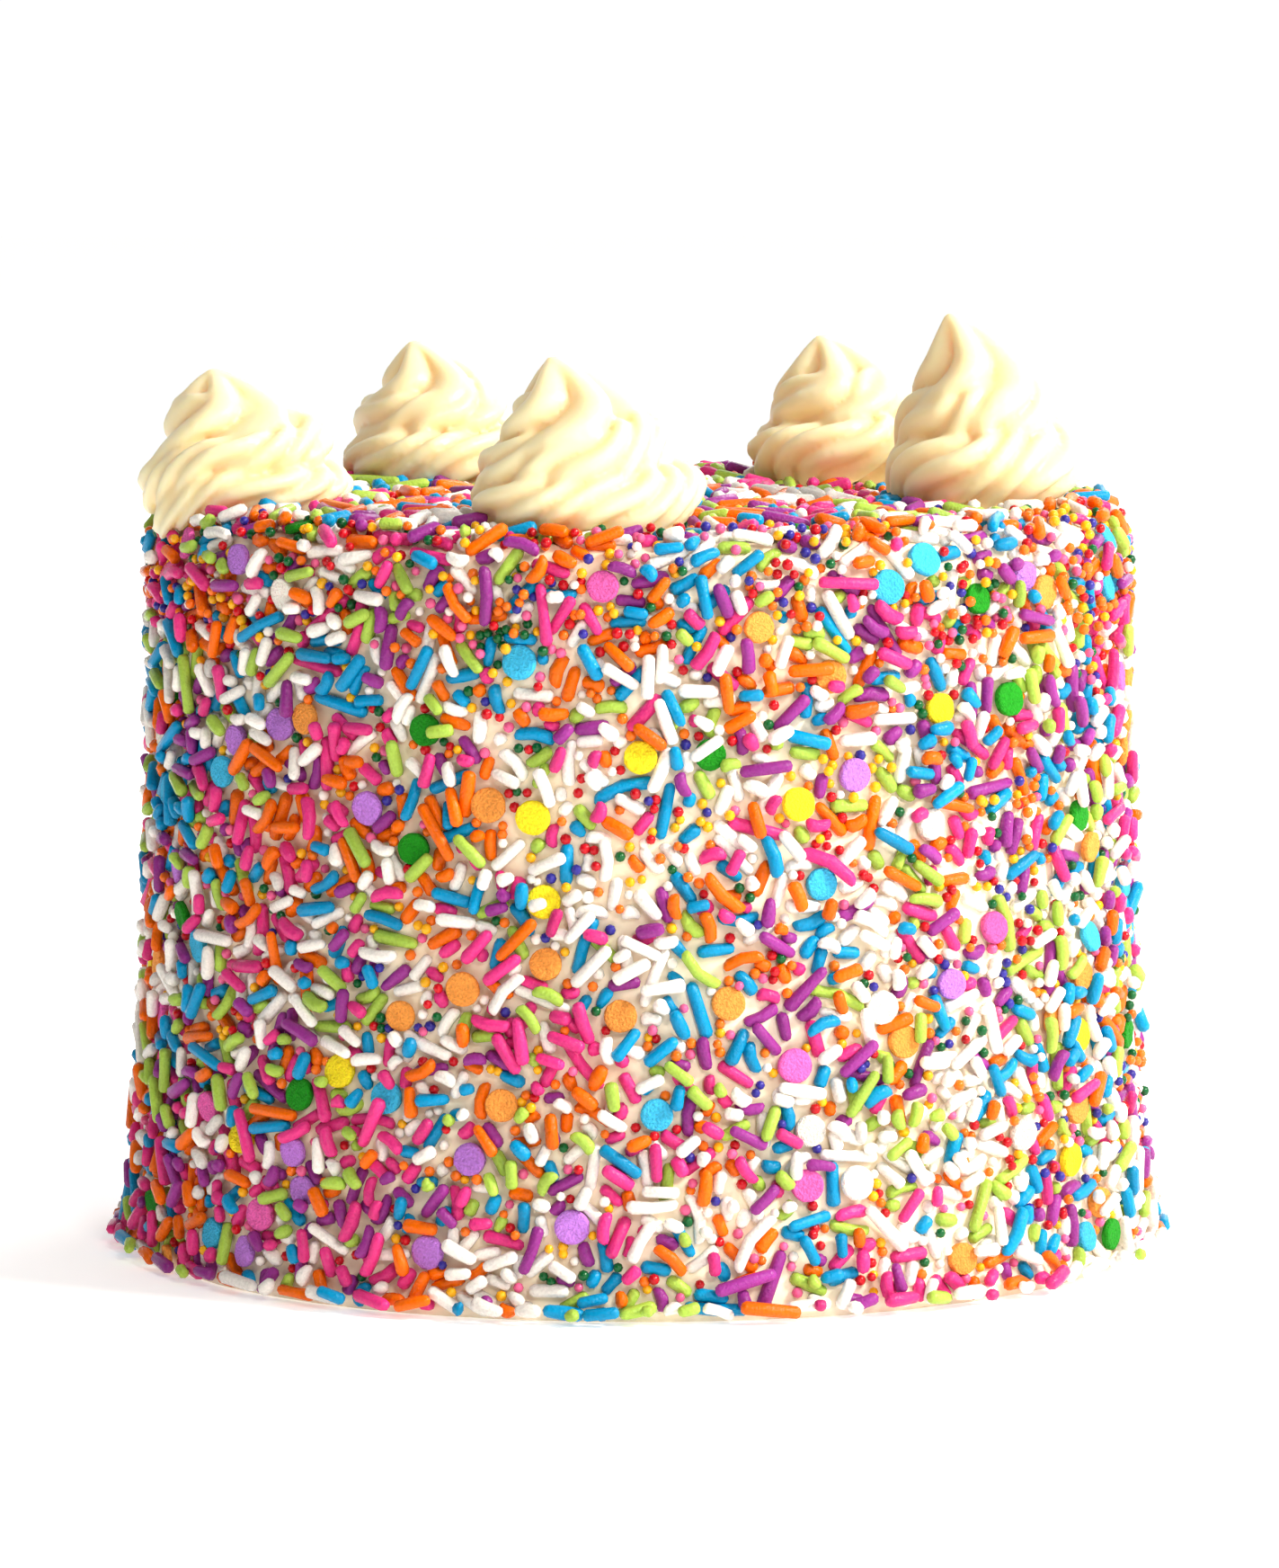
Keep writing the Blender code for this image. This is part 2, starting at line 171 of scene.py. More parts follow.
def frosting_shape():
    """Rings up the side, over the rim and in to the middle of the top, then back under the foot."""
    angle = np.linspace(0, 2 * math.pi, FROSTING_STEPS_ROUND, endpoint=False)
    rings = []
    for up in np.linspace(0, SIDE_RUN, FROSTING_STEPS_UP):
        rings.append(knifed(*side_skin(angle * TOP_RADIUS, np.full_like(angle, up)), MARK_SQUASH))
    for reach in np.linspace(1, 0, FROSTING_STEPS_IN + 1)[1:-1] * FLAT_RADIUS:
        rings.append(knifed(*top_skin(reach * np.cos(angle), reach * np.sin(angle)), 1))
    rings[0][:, 2] = 0
    points = np.concatenate(rings + [np.array([[0, 0, CAKE_HEIGHT - KNIFE_MARK]]), np.zeros((1, 3))])
    count = FROSTING_STEPS_ROUND
    here = np.arange(count)
    after = (here + 1) % count
    triangles = []
    for row in range(len(rings) - 1):
        low, high = row * count, (row + 1) * count
        triangles.append(np.stack([low + here, low + after, high + after], 1))
        triangles.append(np.stack([low + here, high + after, high + here], 1))
    last = (len(rings) - 1) * count
    triangles.append(np.stack([last + here, last + after, np.full(count, len(points) - 2)], 1))
    triangles.append(np.stack([after, here, np.full(count, len(points) - 1)], 1))
    return points, np.concatenate(triangles)


# Whipped buttercream: ivory, satin, and a little see-through, so shadows in it turn warm
spread_buttercream, tree, shader = new_material(
    "whipped buttercream, knife spread",
    {
        "Roughness": 0.45,
        "IOR": 1.46,
        "Subsurface Weight": 0.2,
        "Subsurface Radius": (1.0, 0.7, 0.45),
        "Subsurface Scale": 1.5 * MM,
    },
)
where = add(tree, "ShaderNodeTexCoord").outputs["Object"]
patches = add(tree, "ShaderNodeTexNoise", {"Scale": 1 / (18 * MM), "Detail": 4}, {"Vector": where})
ivory = add(
    tree,
    "ShaderNodeMix",
    {"data_type": "RGBA", 6: linear("#FFF2DA"), 7: linear("#FFE7C6")},
    {"Factor": patches.outputs["Fac"]},
)
ripple = add(tree, "ShaderNodeTexNoise", {"Scale": 1 / (1.6 * MM), "Detail": 5}, {"Vector": where})
bump = add(
    tree,
    "ShaderNodeBump",
    {"Strength": 0.35, "Distance": 0.25 * MM},
    {"Height": ripple.outputs["Fac"]},
)
tree.links.new(ivory.outputs[2], shader.inputs["Base Color"])
tree.links.new(bump.outputs["Normal"], shader.inputs["Normal"])

frosting = mesh_piece("frosting", *frosting_shape())
frosting.data.materials.append(spread_buttercream)
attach(frosting, "root")
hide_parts("cake_body")

# The confetti discs. Tablets of pressed icing sugar, 5 mm across, are matt and pitted like a sugar cube.
# Of everything that is thrown at the soft frosting and patted on, they are the largest, so they come first.

DISC_RADII = (2.3, 2.65)
DISC_HALF = 0.6
DISC_AROUND = 20
DISC_FACE = ((0, 1), (0.3, 1), (0.6, 1), (0.86, 1), (0.97, 0.8))
DISC_OUTLINE = (*[(out, -level) for out, level in DISC_FACE], (1, 0), *reversed(DISC_FACE))

# How discs lie: how high and how tilted, how much room each needs, and how rough the pressing leaves them
DISC_HEIGHTS = (0.8, 1.5)
DISC_TILT = 0.12
DISC_TRIES = 40
DISC_PROBES = 12
DISC_FREE = 0.4
DISC_CLEAR = 1.5
DISC_ROUGH_FACE = 0.05
DISC_ROUGH_EDGE = 0.012
SIDE_DISCS = 200
TOP_DISCS = 30

# The map of what already lies on the frosting, how far it reaches, and how colours gather in clusters
CELL = 0.25
STEP_AHEAD = 0.5
RIM_MARGIN = 1
TOP_MARGIN = 3
SIDE_LOWEST = 0.8
FLOOR_CLEAR = 0.1
CLUSTER = 26
CLUSTERING = 0.9
UNDER_SWIRL = 3
TINT_SPREAD = 0.09

# Each swirl's place, its sizes, the heading where its coil starts, its lean and how far it hangs down
SWIRLS = {
    "swirl_left": dict(at=(-61.5, -12), radius=17.4, height=22.5, start=200, lean=(-4.0, 0.5), hang=6.5),
    "swirl_back_left": dict(at=(-32, 46), radius=16.2, height=24.0, start=65, lean=(-4.5, 0.5), hang=0),
    "swirl_front": dict(at=(-8.5, -53), radius=17.3, height=26.5, start=150, lean=(-4.5, -0.5), hang=0),
    "swirl_back_right": dict(at=(33.5, 45), radius=16.6, height=25.0, start=310, lean=(-4.5, 0.5), hang=0),
    "swirl_right": dict(at=(52.5, -9), radius=15.8, height=31.0, start=20, lean=(-5.0, 0.0), hang=0),
}
draw = np.random.default_rng(7)


class Patch:
    """A stretch of frosting laid out flat, with the height of whatever already lies on each spot."""

    def __init__(self, skin, low, high, wraps):
        self.skin = skin
        self.low = np.array(low, float)
        self.wraps = wraps
        self.cells = np.ceil((np.array(high) - self.low) / CELL).astype(int)
        self.heights = np.zeros(self.cells, np.float32)

    def index(self, along, up):
        i = np.floor((along - self.low[0]) / CELL).astype(int)
        j = np.floor((up - self.low[1]) / CELL).astype(int)
        i = i % self.cells[0] if self.wraps else np.clip(i, 0, self.cells[0] - 1)
        return i, np.clip(j, 0, self.cells[1] - 1)

    def read(self, along, up):
        return self.heights[self.index(along, up)]

    def stamp(self, along, up, reach, top_of):
        """Raises the heights under a sprinkle. top_of gives its top at offsets from its middle."""
        steps = int(math.ceil(reach / CELL))
        i, j = self.index(np.array(along), np.array(up))
        rows = np.arange(-steps, steps + 1)
        grid_i = (i + rows) % self.cells[0] if self.wraps else np.clip(i + rows, 0, self.cells[0] - 1)
        keep = (j + rows >= 0) & (j + rows < self.cells[1])
        x, y = np.meshgrid(rows * CELL, rows[keep] * CELL, indexing="ij")
        spot = np.ix_(grid_i, (j + rows)[keep])
        self.heights[spot] = np.maximum(self.heights[spot], top_of(x, y))

    def directions(self, along, up):
        """The point, the two directions in the frosting's surface and the normal, at places on the patch."""
        point, normal = self.skin(along, up)
        ahead, _ = self.skin(along + STEP_AHEAD, up)
        along_way = ahead - point
        along_way -= (along_way * normal).sum(-1, keepdims=True) * normal
        along_way /= np.linalg.norm(along_way, axis=-1, keepdims=True)
        return point, along_way, np.cross(normal, along_way), normal


side = Patch(side_skin, (0, 0), (2 * math.pi * TOP_RADIUS, SIDE_RUN + RIM_MARGIN), True)
half_top = FLAT_RADIUS + TOP_MARGIN
top = Patch(top_skin, (-half_top, -half_top), (half_top, half_top), False)


def over_side(count, low=SIDE_LOWEST, high=SIDE_RUN):
    """Random places round the side, between two heights."""
    return draw.uniform(0, 2 * math.pi * TOP_RADIUS, count), draw.uniform(low, high, count)


def over_top(count):
    """Random places all over the flat top."""
    out = (FLAT_RADIUS + RIM_MARGIN) * np.sqrt(draw.random(count))
    turn = draw.uniform(0, 2 * math.pi, count)
    return out * np.cos(turn), out * np.sin(turn)


def under_swirl(point, margin):
    """Whether points lie under a swirl, where no sprinkle shows."""
    hidden = np.zeros(point.shape[:-1], bool)
    for shape in SWIRLS.values():
        apart = np.hypot(point[..., 0] - shape["at"][0], point[..., 1] - shape["at"][1])
        hidden |= (apart < shape["radius"] - margin) & (point[..., 2] > CAKE_HEIGHT - UNDER_SWIRL)
    return hidden


def lathe_triangles(around, rings):
    """Triangles over points that go from a first pole, through rings, to a last pole."""
    here = np.arange(around)
    after = (here + 1) % around
    found = [np.stack([np.zeros(around, int), 1 + after, 1 + here], 1)]
    for ring in range(rings - 1):
        low, high = 1 + ring * around, 1 + (ring + 1) * around
        found.append(np.stack([low + here, low + after, high + after], 1))
        found.append(np.stack([low + here, high + after, high + here], 1))
    low = 1 + (rings - 1) * around
    found.append(np.stack([low + here, low + after, np.full(around, 1 + rings * around)], 1))
    return np.concatenate(found)


def turned(middle, axis, aside, place, size, shift=0):
    """Shapes turned round their own axes, as each one's points: a pole, the rings between, and a pole.

    place and size are each ring's place along the axis and its radius, for every shape, ring and step round.
    shift moves the rings aside."""
    turn = np.linspace(0, 2 * math.pi, size.shape[2], endpoint=False)
    rings = middle[:, None, None] + axis[:, None, None] * place[..., None]
    rings = rings + aside[:, None, None] * (shift + size * np.cos(turn))[..., None]
    rings = rings + np.cross(axis, aside)[:, None, None] * (size * np.sin(turn))[..., None]
    between = rings[:, 1:-1].reshape(len(middle), -1, 3)
    return np.concatenate([rings[:, 0, :1], between, rings[:, -1, :1]], 1)


def share_out(middles, colours, seed):
    """Gives each sprinkle a colour. Each is commoner here and rarer there, and some gain to the right."""
    weights = []
    for k, (_, _, share, gain) in enumerate(colours):
        # The gain is painted light and shade: a positive gain gathers a colour on the lit right, a negative
        # one in the shaded left
        lean = gain * middles[:, 0] / TOP_RADIUS
        weights.append(share * np.exp(CLUSTERING * drift(seed + k, CLUSTER)(middles) + lean))
    bounds = np.cumsum(weights, 0) / np.sum(weights, 0)
    return (draw.random(len(middles)) > bounds).sum(0).clip(0, len(colours) - 1)


def sugar_material(name, code, grain, contrast, pits, settings):
    """Sugar in one colour, each sprinkle a little lighter or darker, mottled and pitted by its grains.

    grain is their size in mm, larger than real sugar's so that it shows, and pits is how deep they are."""
    made, tree, shader = new_material(name, {"IOR": 1.5, "Subsurface Scale": 0.4 * MM, **settings})
    where = add(tree, "ShaderNodeTexCoord").outputs["Object"]
    crystals = add(tree, "ShaderNodeTexNoise", {"Scale": 1 / (grain * MM), "Detail": 3}, {"Vector": where})
    mottle = crystals.outputs["Fac"]
    tone_and_painted_shade = add(tree, "ShaderNodeAttribute", {"attribute_name": "tone_and_painted_shade"}).outputs["Fac"]
    shade = add(tree, "ShaderNodeMath", {"operation": "MULTIPLY_ADD", 1: contrast}, {0: mottle, 2: tone_and_painted_shade})
    colour = add(tree, "ShaderNodeHueSaturation", {"Color": linear(code)}, {"Value": shade.outputs["Value"]})
    bump = add(tree, "ShaderNodeBump", {"Strength": 0.6, "Distance": pits * MM}, {"Height": mottle})
    tree.links.new(colour.outputs["Color"], shader.inputs["Base Color"])
    tree.links.new(bump.outputs["Normal"], shader.inputs["Normal"])
    return made


def make_kind(kind, points, around, colours, seed, stuff, grain, contrast, pits, settings):
    """Makes one piece for each colour of a kind of sprinkle. points holds the points of every sprinkle."""
    points[..., 2] = np.maximum(points[..., 2], FLOOR_CLEAR)
    size = points.shape[1]
    triangles = lathe_triangles(around, (size - 2) // around)
    chosen = share_out(points.mean(1), colours, seed)
    for k, (colour_name, code, _, _) in enumerate(colours):
        mine = points[chosen == k]
        offsets = np.arange(len(mine))[:, None, None] * size
        tone_and_painted_shade = np.repeat(1 - contrast / 2 + draw.normal(0, TINT_SPREAD, len(mine)), size)
        corners = (triangles + offsets).reshape(-1, 3)
        piece = mesh_piece(f"{kind}_{colour_name}", mine.reshape(-1, 3), corners, tone_and_painted_shade)
        sugar = sugar_material(f"{stuff}, {colour_name}", code, grain, contrast, pits, settings)
        piece.data.materials.append(sugar)
        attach(piece, "root")


def lay_discs(patch, count, spread):
    """Presses discs on nearly flat, none on another."""
    laid = []
    for _ in range(count):
        for _ in range(DISC_TRIES):
            along, up = (values[0] for values in spread(1))
            radius = draw.uniform(*DISC_RADII)
            around = np.linspace(0, 2 * math.pi, DISC_PROBES, endpoint=False)
            taken = patch.read(along + radius * np.cos(around), up + radius * np.sin(around)).max()
            point, along_way, rise, normal = patch.directions(np.array(along), np.array(up))
            if taken < DISC_FREE and not under_swirl(point, -DISC_CLEAR):
                height = draw.uniform(*DISC_HEIGHTS)
                axis = normal + draw.normal(0, DISC_TILT) * along_way + draw.normal(0, DISC_TILT) * rise
                laid.append((point + normal * height, axis, along_way, radius))
                patch.stamp(along, up, radius, lambda x, y: (np.hypot(x, y) < radius) * (height + DISC_HALF))
                break
    return laid


laid = lay_discs(side, SIDE_DISCS, over_side) + lay_discs(top, TOP_DISCS, over_top)
middle, axis, aside, radius = (np.array(values) for values in zip(*laid))
axis /= np.linalg.norm(axis, axis=1, keepdims=True)
aside -= (aside * axis).sum(1, keepdims=True) * axis
aside /= np.linalg.norm(aside, axis=1, keepdims=True)
outline = np.array(DISC_OUTLINE)
grid = (len(laid), len(outline), DISC_AROUND)

# Pressed icing sugar: matt, chalky and mottled, with pits that catch the light like a sugar cube's
make_kind(
    "discs",
    turned(
        middle,
        axis,
        aside,
        DISC_HALF * outline[:, 1, None] + draw.normal(0, DISC_ROUGH_FACE, grid),
        radius[:, None, None] * outline[:, 0, None] * (1 + draw.normal(0, DISC_ROUGH_EDGE, grid)),
    ),
    DISC_AROUND,
    (
        ("lilac", "#C07CDC", 0.17, 0),
        ("sky", "#3CB8E4", 0.16, 0),
        ("apricot", "#FB9E44", 0.17, 0),
        ("yellow", "#FBE020", 0.16, 0),
        ("green", "#148A10", 0.14, 0),
        ("pink", "#F062B2", 0.12, 0),
        ("white", "#F1E8DC", 0.11, 0),
    ),
    seed=300,
    stuff="pressed icing sugar",
    grain=0.38,
    contrast=0.9,
    pits=1.2,
    settings={"Roughness": 0.75, "Specular IOR Level": 0.25, "Subsurface Weight": 0.1},
)

# The rods. Sugar paste is extruded through fine holes, broken up, and tumbled with a glaze that rounds the
# ends: 2 to 10 mm long, straight or slightly bent, with a satin shine. They lie every way, up to two deep.

ROD_RADII = (0.87, 1.05)
ROD_LENGTHS = (2.3, 9.8)
ROD_AROUND = 7
ROD_END = ((1, 0.1, 1), (1, 0.7, 0.72), (1, 1, 0))
ROD_OUTLINE = (*[(-half, -tip, size) for half, tip, size in reversed(ROD_END)], (0, 0, 1), *ROD_END)
SIDE_RODS = 6450
TOP_RODS = 1250
FOOT_RODS = 420
ROD_LENGTH_SHAPE = 9
ROD_LENGTH_SCALE = 0.58
BENT_SHARE = 0.4
BEND = 0.07
MOST_BEND = 0.1
BOW_MIDDLE = 0.4
TIP_REACH = 0.6

# Where a rod feels for what lies below it, how high and how steep it may lie, and where fewer lie
PROBES = 9
PROBES_ACROSS = (-0.6, 0, 0.6)
BARE = 0.05
SINK = 0.5
ROD_UNDER = 1.5
TRIES = 14
HIGHEST = 2.4
HIGHEST_AT_FOOT = 4.2
FOOT_BAND = (1.0, 2.1)
FOOT_TURN = 0.3
STEEPEST = 0.34
STEEP_COST = 9
NEVER = 99
RIM_BAND = 2
RIM_TURN = math.radians(60)
THIN_WIDTH = 30
THIN_CHANCE = 0.8
THIN_RIGHT = 0.5
THIN_MIDDLE = 0.4
THIN_SPOT = (0, -75, 69)
THIN_REACH = 34
THIN_START = 0.35
THIN_COST = 1.3

# How rods differ: blunt or pointed ends, one end thicker, a thicker or thinner middle
BLUNT = (0.7, 1.15)
TAPER = 0.06
BELLY = (0.02, 0.05)
bare = drift(21, THIN_WIDTH)


def thinness(point):
    """How thinly sprinkles lie: by chance, more to the right, and most in the middle of the front."""
    away = np.linalg.norm(point - np.array(THIN_SPOT), axis=-1)
    across = THIN_RIGHT * point[..., 0] / TOP_RADIUS
    return THIN_CHANCE * bare(point) + across + THIN_MIDDLE * np.exp(-((away / THIN_REACH) ** 2))


def bow(place, tip):
    """The shape of a bent rod's bow, from its middle to its tips."""
    return (place / tip) ** 2 - BOW_MIDDLE


def rod_rest(patch, along, up, heading, half, radius, bend):
    """How high the middles of rods lie when they come to rest, and how much they slope."""
    tip = half + TIP_REACH * radius
    place = np.linspace(-1, 1, PROBES) * tip[:, None]
    inside = np.minimum(np.abs(place), half[:, None])
    past = np.abs(place) - inside
    sideways = bend[:, None] * bow(place, tip[:, None])
    needed = np.zeros(place.shape)
    for share in PROBES_ACROSS:
        across = sideways + share * radius
        x = along[:, None] + place * np.cos(heading)[:, None] - across * np.sin(heading)[:, None]
        y = up[:, None] + place * np.sin(heading)[:, None] + across * np.cos(heading)[:, None]
        below = patch.read(x, y)
        belly = np.sqrt(np.maximum(radius**2 * (1 - share**2) - past**2, 0))
        needed = np.maximum(needed, np.where(below > BARE, below + belly, SINK * radius))
    mid = PROBES // 2
    left, right = needed[:, : mid + 1], needed[:, mid:]
    at_left, at_right = place[:, : mid + 1], place[:, mid:]
    gap = at_right[:, None, :] - at_left[:, :, None]
    gap[:, mid, 0] = 1
    level = (left[:, :, None] * at_right[:, None, :] - right[:, None, :] * at_left[:, :, None]) / gap
    level[:, mid, 0] = needed[:, mid]
    slope = (right[:, None, :] - left[:, :, None]) / gap
    best = level.reshape(len(along), -1).argmax(1)
    row = np.arange(len(along))
    return level.reshape(len(along), -1)[row, best], slope.reshape(len(along), -1)[row, best]


def lay_rods(patch, count, spread, highest=HIGHEST, headings=None):
    """Drops rods one by one. Of a few tries for each, the one that lies lowest is kept."""
    laid = []
    for _ in range(count):
        along, up = spread(TRIES)
        heading = headings(TRIES) if headings else draw.uniform(0, math.pi, TRIES)
        if patch is side:
            near_rim = up > STRAIGHT - RIM_BAND
            heading = np.where(near_rim, draw.uniform(-RIM_TURN, RIM_TURN, TRIES), heading)
        radius = draw.uniform(*ROD_RADII)
        length = draw.gamma(ROD_LENGTH_SHAPE, ROD_LENGTH_SCALE, TRIES).clip(*ROD_LENGTHS)
        half = length / 2 - radius
        bend = np.where(draw.random(TRIES) < BENT_SHARE, draw.normal(0, BEND, TRIES), 0)
        bend = bend.clip(-MOST_BEND, MOST_BEND) * length
        level, slope = rod_rest(patch, along, up, heading, half, radius, bend)
        point, along_way, rise, normal = patch.directions(along, up)
        score = level + THIN_COST * np.maximum(thinness(point) - THIN_START, 0)
        score += STEEP_COST * (np.abs(slope) > STEEPEST)
        score += NEVER * under_swirl(point, ROD_UNDER)
        if patch is side:
            drop = half * np.abs(rise[:, 2] * np.sin(heading)) + radius + FLOOR_CLEAR
            score += NEVER * (point[:, 2] < drop)
        best = score.argmin()
        if score[best] > highest:
            continue
        h, w, t, b, a = heading[best], level[best], slope[best], bend[best], half[best]
        cos, sin = math.cos(h), math.sin(h)
        lengthwise = along_way[best] * cos + rise[best] * sin + normal[best] * t
        crosswise = rise[best] * cos - along_way[best] * sin
        laid.append((point[best] + normal[best] * w, lengthwise, crosswise, a, radius, b))

        def top_of(x, y):
            place = x * cos + y * sin
            across = y * cos - x * sin - b * bow(place, a + TIP_REACH * radius)
            past = np.maximum(np.abs(place) - a, 0)
            inside = radius**2 - across**2 - past**2
            return np.where(inside > 0, w + t * place + np.sqrt(np.maximum(inside, 0)), 0)

        patch.stamp(along[best], up[best], a + radius, top_of)
    return laid


laid = lay_rods(side, SIDE_RODS, over_side)
laid += lay_rods(
    side,
    FOOT_RODS,
    lambda count: over_side(count, *FOOT_BAND),
    HIGHEST_AT_FOOT,
    lambda count: draw.normal(0, FOOT_TURN, count),
)
laid += lay_rods(top, TOP_RODS, over_top)
middle, axis, aside, half, radius, bend = (np.array(values) for values in zip(*laid))
axis /= np.linalg.norm(axis, axis=1, keepdims=True)
half, radius, bend = half[:, None, None], radius[:, None, None], bend[:, None, None]
outline = np.array(ROD_OUTLINE)[:, :, None]
blunt = draw.uniform(*BLUNT, (len(laid), 1, 1))
taper = 1 + draw.normal(0, TAPER, (len(laid), 1, 1)) * outline[:, 0]
taper += draw.normal(*BELLY, (len(laid), 1, 1)) * (outline[:, 0] == 0)
place = outline[:, 0] * half + outline[:, 1] * radius * blunt

# Glazed sugar paste: full colour, a little mottled, under a thin glaze that gives each rod a soft highlight
make_kind(
    "rods",
    turned(
        middle,
        axis,
        aside,
        place,
        radius * taper * outline[:, 2] * np.ones(ROD_AROUND),
        bend * bow(place, half + TIP_REACH * radius),
    ),
    ROD_AROUND,
    # The last column is painted light and shade: white gathers on the lit right, pink and orange in the
    # shaded left
    (
        ("white", "#F4EEE6", 0.325, 0.4),
        ("pink", "#DE3480", 0.155, -0.15),
        ("orange", "#EE6800", 0.15, -0.1),
        ("blue", "#0090C4", 0.14, 0),
        ("lime", "#A6C64C", 0.125, 0),
        ("purple", "#923088", 0.095, 0),
    ),
    seed=100,
    stuff="glazed sugar paste",
    grain=0.45,
    contrast=0.45,
    pits=0.3,
    settings={"Roughness": 0.22, "Specular IOR Level": 0.22, "Subsurface Weight": 0.05},
)

# The pearls. Sugar crystals are panned in coloured syrup until they are hard polished balls, a millimetre
# and a half across. They roll into the gaps between the rods, and gather most thickly along the rim.

PEARL_RADII = (0.7, 0.88)
PEARL_AROUND = 8
PEARL_RINGS = 3
RIM_PEARLS = 1050
SIDE_PEARLS = 3500
TOP_PEARLS = 1100
PEARL_SINK = 0.8
PEARL_UNDER = 1.0
PEARL_PROBES = ((0, 1), (0.6, 6))
RIM_PEARLS_DOWN = 11
RIM_HIGHEST = 2.2
SIDE_HIGHEST = 1.7
TOP_HIGHEST = 1.8


def lay_pearls(patch, count, spread, highest):
    """Drops pearls one by one. Of a few tries for each, the lowest spot is kept."""
    laid = []
    for _ in range(count):
        along, up = spread(TRIES)
        radius = draw.uniform(*PEARL_RADII)
        needed = np.zeros(TRIES)
        for share, steps in PEARL_PROBES:
            belly = radius * math.sqrt(1 - share**2)
            for turn in np.linspace(0, 2 * math.pi, steps, endpoint=False):
                reach = share * radius
                below = patch.read(along + reach * math.cos(turn), up + reach * math.sin(turn))
                needed = np.maximum(needed, np.where(below > BARE, below + belly, PEARL_SINK * radius))
        point, _, _, normal = patch.directions(along, up)
        score = needed + NEVER * under_swirl(point, PEARL_UNDER)
        score += NEVER * (point[:, 2] < radius + FLOOR_CLEAR)
        best = score.argmin()
        if score[best] > highest:
            continue
        height = needed[best]
        laid.append((point[best] + normal[best] * height, radius))

        def top_of(x, y):
            inside = radius**2 - x**2 - y**2
            return np.where(inside > 0, height + np.sqrt(np.maximum(inside, 0)), 0)

        patch.stamp(along[best], up[best], radius, top_of)
    return laid


laid = lay_pearls(
    side,
    RIM_PEARLS,
    lambda count: over_side(count, STRAIGHT - RIM_PEARLS_DOWN),
    RIM_HIGHEST,
)
laid += lay_pearls(side, SIDE_PEARLS, over_side, SIDE_HIGHEST)
laid += lay_pearls(top, TOP_PEARLS, over_top, TOP_HIGHEST)
middle, radius = (np.array(values) for values in zip(*laid))
fall = np.linspace(0, math.pi, PEARL_RINGS + 2)[:, None]

# Polished sugar: deep colour and a smooth hard shell, which gives each pearl a bright point of light
make_kind(
    "pearls",
    turned(
        middle,
        np.tile((0.0, 0.0, 1.0), (len(laid), 1)),
        np.tile((1.0, 0.0, 0.0), (len(laid), 1)),
        radius[:, None, None] * -np.cos(fall),
        radius[:, None, None] * np.sin(fall) * np.ones(PEARL_AROUND),
    ),
    PEARL_AROUND,
    # The last column is painted shade: red pearls gather in the shaded left
    (
        ("red", "#C40A1A", 0.20, -0.3),
        ("orange", "#F07010", 0.19, 0),
        ("yellow", "#F4B010", 0.19, 0),
        ("green", "#025A28", 0.09, 0),
        ("indigo", "#302A90", 0.09, 0),
        ("pink", "#E65E90", 0.12, 0),
        ("white", "#F4ECE2", 0.12, 0),
    ),
    seed=200,
    stuff="polished sugar pearl",
    grain=0.4,
    contrast=0.1,
    pits=0.02,
    settings={"Roughness": 0.16, "Specular IOR Level": 0.35, "Subsurface Weight": 0.05},
)

# The swirls. Buttercream is piped through a large star nozzle in a rising coil, and the bag is pulled up and
# a little to the left, so that the ridges run together into a leaning peak.

# The coil, from its foot up: turns, then how far out and how high its middle lies, and its half width
# and half height there. The peak: height, then radius. Both are for a swirl of the nominal size.
COIL = (
    (0.0, 8.6, 3.0, 4.4, 3.0),
    (0.1, 9.2, 4.4, 7.4, 4.9),
    (0.5, 9.6, 5.0, 8.2, 5.6),
    (1.0, 9.1, 7.4, 7.9, 5.7),
    (1.5, 7.6, 11.0, 7.3, 5.7),
    (2.0, 5.4, 14.4, 6.8, 5.2),
    (2.3, 3.6, 16.0, 5.6, 4.5),
    (2.5, 1.6, 16.4, 3.6, 3.6),
)
PEAK = (
    (7.0, 3.0),
    (10.0, 9.5),
    (13.0, 12.6),
    (16.0, 12.3),
    (18.6, 10.6),
    (21.0, 8.4),
    (23.0, 6.2),
    (24.7, 4.0),
    (25.9, 2.0),
    (26.4, 0.9),
    (26.6, 0.2),
)
NOMINAL_RADIUS = 17.3
NOMINAL_HEIGHT = 26.5

# The star's ridges: how many, how deep, how they twist, and how unevenly the hand lays them
LOBES = 4
PEAK_LOBES = 5
COIL_DEPTH = 0.75
PEAK_DEPTH = 0.8
LOBE_CREST = 0.7
TWISTS = (3.6, 1.2)
HOOK = 0.75
PEAK_SWING = 1.6
PEAK_SWING_HEIGHTS = (9, 22)
WAVES = 4
WAVE_RATES = (0.6, 2.6)
WAVE_SIZES = (0.4, 1)
UNEVEN = 0.045
RUFFLES = 4.3
RUFFLE = 0.06
PEAK_OVAL = 0.05
LEAN_POWER = 5

# How finely a swirl is made, how its parts run together, and how its valleys are found for their painted
# shade
COIL_STEPS = 420
PEAK_STEPS = 130
PEAK_STEP_POWER = 1.4
ROPE_SIDES = 108
SUNK = 1.0
GAP = 0.35
VOXEL = 0.5
SWELL = 0.7
SOFTENINGS = 3
VALLEY_PASSES = 28
VALLEY_DEPTH = 1.3
VALLEY_START = 0.35


